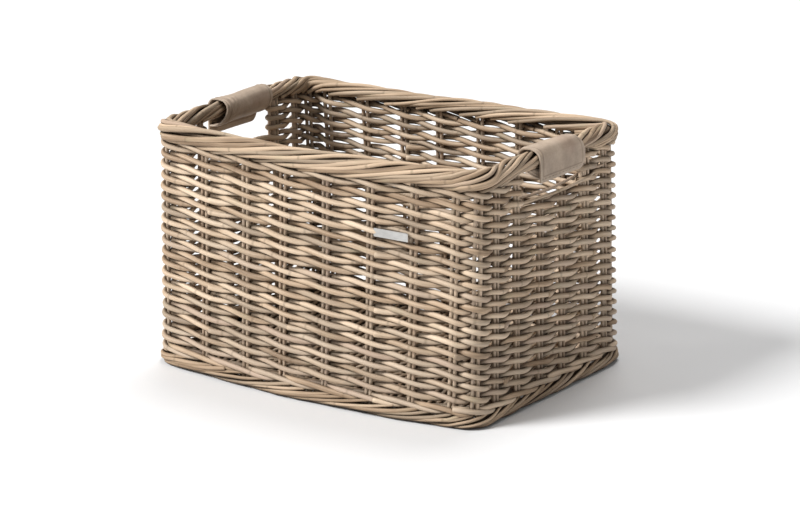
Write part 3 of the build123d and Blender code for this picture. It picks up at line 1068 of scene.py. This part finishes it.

# %% [markdown]
# ## Leather
# Hide in a warm grey brown: cloudy colour, a fine pebbled grain, and paler edges with a painted dark line
# of shadow in the sewn groove. The grain is a bump of small cells over a slower swell.

# %% Leather material
def leather():
    """Leather whose colour is cloudy noise, with its hem painted by the distance to the nearest edge."""
    kit = Kit("sleeve_leather")
    place = kit.node("ShaderNodeTexCoord", output="Object")
    across, along = kit.split(kit.node("ShaderNodeUVMap", {"uv_map": "hide_uv"}))
    cloud = kit.noise(place, 38.0, 4.0, 0.6)
    fine = kit.noise(place, 420.0, 3.0, 0.6)
    colour = kit.ramp(cloud * 0.8 + fine * 0.2, [(0.32, (0.30, 0.228, 0.168)), (0.52, (0.43, 0.332, 0.25)),
                                                 (0.72, (0.53, 0.42, 0.32))])
    patch = kit.clamp(kit.noise(place, 17.0, 2.0), 0.52, 0.75)
    colour = kit.mix(patch * 0.4, colour, (0.42, 0.27, 0.20, 1))
    nearest = along.math("MINIMUM", 1 - along).math("MINIMUM", (1 - across) * 0.95)
    # Painted shadow: a dark line is mixed into the colour along the sewn groove.
    groove = kit.clamp(nearest, 0.050, 0.057) * (1 - kit.clamp(nearest, 0.062, 0.072))
    colour = kit.mix(groove * 0.45, colour, (0.12, 0.08, 0.055, 1))
    edge = 1 - kit.clamp(nearest, 0.0, 0.045)
    colour = kit.mix(edge * 0.45, colour, (0.50, 0.41, 0.32, 1))
    cells = kit.node("ShaderNodeTexVoronoi", None, {"Vector": place, "Scale": 900.0})
    grain = kit.node("ShaderNodeBump", None, {"Strength": 0.25, "Distance": 0.0003,
                                              "Height": cells * 0.4 + fine * 0.8 + cloud * 1.5})
    kit.shader.inputs["Specular IOR Level"].default_value = 0.4
    return kit.finish(Base_Color=colour, Roughness=0.5 + cloud * 0.25, Normal=grain)


hide = leather()
for piece in sleeves.values():
    piece.data.materials.append(hide)

# %% [markdown]
# ## Stitching
# The seam is a row of stitches through both sheets, low on the flap. One stitch is a small
# capsule of waxed thread; the row is that capsule repeated.

# %% Stitches
STITCHES = 13
STITCH_PITCH = 7 * MM
STITCH_RAISE = 2.2 * MM
STITCH_PROUD = 0.5 * MM


def capsules(centres, half_length, radius, sides=8, rings=9):
    """Vertices, quads and end faces of rounded sticks along Y, one closed mesh at each centre.

    Along a stick the radius is a cosine, and the place on Y a sine drawn apart in the middle.
    """
    turn = np.linspace(-math.pi / 2, math.pi / 2, rings)
    along = np.sin(turn) * radius + np.sign(turn) * (half_length - radius)
    width = np.maximum(np.cos(turn), 0.05) * radius
    angle = np.linspace(0, 2 * math.pi, sides, endpoint=False)
    ring = np.stack([width[:, None] * np.cos(angle), np.repeat(along[:, None], sides, 1),
                     width[:, None] * np.sin(angle)], axis=2).reshape(-1, 3)
    i, j = np.meshgrid(np.arange(rings - 1), np.arange(sides), indexing="ij")
    quads = np.stack([i * sides + j, (i + 1) * sides + j, (i + 1) * sides + (j + 1) % sides,
                      i * sides + (j + 1) % sides], axis=2).reshape(-1, 4)
    caps = np.stack([np.arange(sides), (rings - 1) * sides + np.arange(sides)[::-1]])
    vertices = (centres[:, None] + ring[None]).reshape(-1, 3)
    shift = (np.arange(len(centres)) * len(ring))[:, None, None]
    return vertices, (quads[None] + shift).reshape(-1, 4), (caps[None] + shift).reshape(-1, sides)


def thread():
    """Waxed thread with a slight change of shade along it."""
    kit = Kit("waxed_thread")
    place = kit.node("ShaderNodeTexCoord", output="Object")
    tint = kit.noise(place, 300.0)
    colour = kit.ramp(tint, [(0.35, (0.20, 0.155, 0.115)), (0.65, (0.32, 0.255, 0.195))])
    return kit.finish(Base_Color=colour, Roughness=0.6)


waxed = thread()
for end in ("left", "right"):
    low, high = (np.array(corner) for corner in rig.box(f"{end}_stitching"))
    middle = (low + high) / 2
    middle[0] = math.copysign(HALF_LENGTH + SLEEVE_REACH - STITCH_PROUD, middle[0])
    middle[2] += STITCH_RAISE
    offsets = (np.arange(STITCHES) - (STITCHES - 1) / 2) * STITCH_PITCH
    centres = np.repeat(middle[None], STITCHES, axis=0)
    centres[:, 1] += offsets
    vertices, quads, caps = capsules(centres, 2.2 * MM, 0.45 * MM)
    mesh = bpy.data.meshes.new(f"{end}_seam_stitches")
    mesh.from_pydata(vertices.tolist(), [], quads.tolist() + caps.tolist())
    mesh.polygons.foreach_set("use_smooth", np.ones(len(mesh.polygons), dtype=bool))
    mesh.materials.append(waxed)
    seam = bpy.data.objects.new(f"{end}_seam_stitches", mesh)
    bpy.context.scene.collection.objects.link(seam)
    finish_piece(seam, "thread", [f"{end}_stitching"], f"{end}_grip")
print(STITCHES, "stitches in each seam")

# %% [markdown]
# ## The tag
# A plain strip of metal on the front, held by two tabs. It keeps its CAD shape, and only takes a
# satin metal finish with faint brush lines.

# %% Tag
def satin_metal():
    """Grey metal with faint level lines, from noise that is squeezed upright."""
    kit = Kit("satin_metal")
    place = kit.node("ShaderNodeTexCoord", output="Object")
    stretched = kit.node("ShaderNodeMapping", None, {"Vector": place, "Scale": (40.0, 40.0, 1600.0)})
    lines = kit.noise(stretched, 1.0, 3.0)
    blotch = kit.noise(place, 120.0)
    colour = kit.ramp(lines * 0.5 + blotch * 0.5, [(0.3, (0.46, 0.45, 0.43)), (0.7, (0.66, 0.65, 0.63))])
    kit.shader.inputs["Metallic"].default_value = 1.0
    return kit.finish(Base_Color=colour, Roughness=0.28 + blotch * 0.2)


tag = frame["nodes"]["metal_tag"]
tag.data.materials.clear()
tag.data.materials.append(satin_metal())

# %% [markdown]
# ## Floor and light
# A pale floor and a white sky. The main light comes from the upper left in front, a second one
# from above and behind, and a faint one from the right keeps that end from going black.

# %% Stage
floor_mesh = bpy.data.meshes.new("studio_floor")
floor_mesh.from_pydata([(-30, -30, 0), (30, -30, 0), (30, 30, 0), (-30, 30, 0)], [], [(0, 1, 2, 3)])
floor = bpy.data.objects.new("studio_floor", floor_mesh)
bpy.context.scene.collection.objects.link(floor)
floor_kit = Kit("pale_floor")
floor_kit.shader.inputs["Specular IOR Level"].default_value = 0.1
floor_mesh.materials.append(floor_kit.finish(Base_Color=(0.77, 0.77, 0.773, 1), Roughness=0.9))
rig.stage(floor)

world = bpy.data.worlds.new("studio_world")
bpy.context.scene.world = world
world.use_nodes = True
world.node_tree.nodes["Background"].inputs["Color"].default_value = (1.0, 1.0, 1.0, 1)
world.node_tree.nodes["Background"].inputs["Strength"].default_value = 0.325


def area_light(name, place, target, size, power, colour):
    """A square area light at place, turned to face target."""
    data = bpy.data.lights.new(name, "AREA")
    data.size, data.energy, data.color = size, power, colour
    lamp = bpy.data.objects.new(name, data)
    lamp.location = place
    lamp.rotation_euler = (Vector(target) - Vector(place)).to_track_quat("-Z", "Y").to_euler()
    bpy.context.scene.collection.objects.link(lamp)
    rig.stage(lamp)


def sun_light(name, direction, strength, spread):
    """A far light that comes from direction, with soft shadows: spread is its width in degrees."""
    data = bpy.data.lights.new(name, "SUN")
    data.energy, data.angle = strength, math.radians(spread)
    lamp = bpy.data.objects.new(name, data)
    lamp.rotation_euler = Vector(direction).to_track_quat("Z", "Y").to_euler()
    bpy.context.scene.collection.objects.link(lamp)
    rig.stage(lamp)


sun_light("key_light", (-0.60, -0.74, 0.84), 3.65, 22)
sun_light("top_light", (-0.12, 0.42, 1.0), 1.3, 26)
area_light("fill_light", (2.6, -0.9, 0.8), (0, 0, 0.15), 1.6, 0.35, (0.98, 0.98, 1.0))
print("lights placed")

# %% [markdown]
# ## Camera
# The camera stands at the basket's front right, a little above, with a long lens. Its place is
# the point it aims at plus a distance along a direction, given by two angles, and its three axes
# are that direction and the two at right angles to it, rolled by a fraction of a degree.

# %% Camera
AZIMUTH, ELEVATION, ROLL = (math.radians(angle) for angle in (35.35, 16.42, -0.64))
DISTANCE, AIM = 3.423, Vector((0.0211, 0, 0.1183))
toward = Vector((math.sin(AZIMUTH) * math.cos(ELEVATION), -math.cos(AZIMUTH) * math.cos(ELEVATION),
                 math.sin(ELEVATION)))
right = Vector((math.cos(AZIMUTH), math.sin(AZIMUTH), 0))
up = toward.cross(right)
axes = Matrix((right * math.cos(ROLL) + up * math.sin(ROLL),
               up * math.cos(ROLL) - right * math.sin(ROLL), toward)).transposed()
camera_data = bpy.data.cameras.new("camera")
camera_data.lens, camera_data.sensor_width = 135.0, 36.0
camera = bpy.data.objects.new("camera", camera_data)
camera.matrix_world = Matrix.Translation(AIM + toward * DISTANCE) @ axes.to_4x4()
bpy.context.scene.collection.objects.link(camera)
bpy.context.scene.camera = camera
bpy.context.scene.view_settings.view_transform = "Standard"
print("camera at", [round(value, 3) for value in camera.matrix_world.translation])

# %% [markdown]
# ## Measure
# The box of the finished basket is written beside the imported model's box. The last line prints them.

# %% Measure
json.dump({"cad": [list(corner) for corner in cad_box], "visual": [list(corner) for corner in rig.bounds()]},
          open("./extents.json", "w"))
print(open("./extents.json").read())
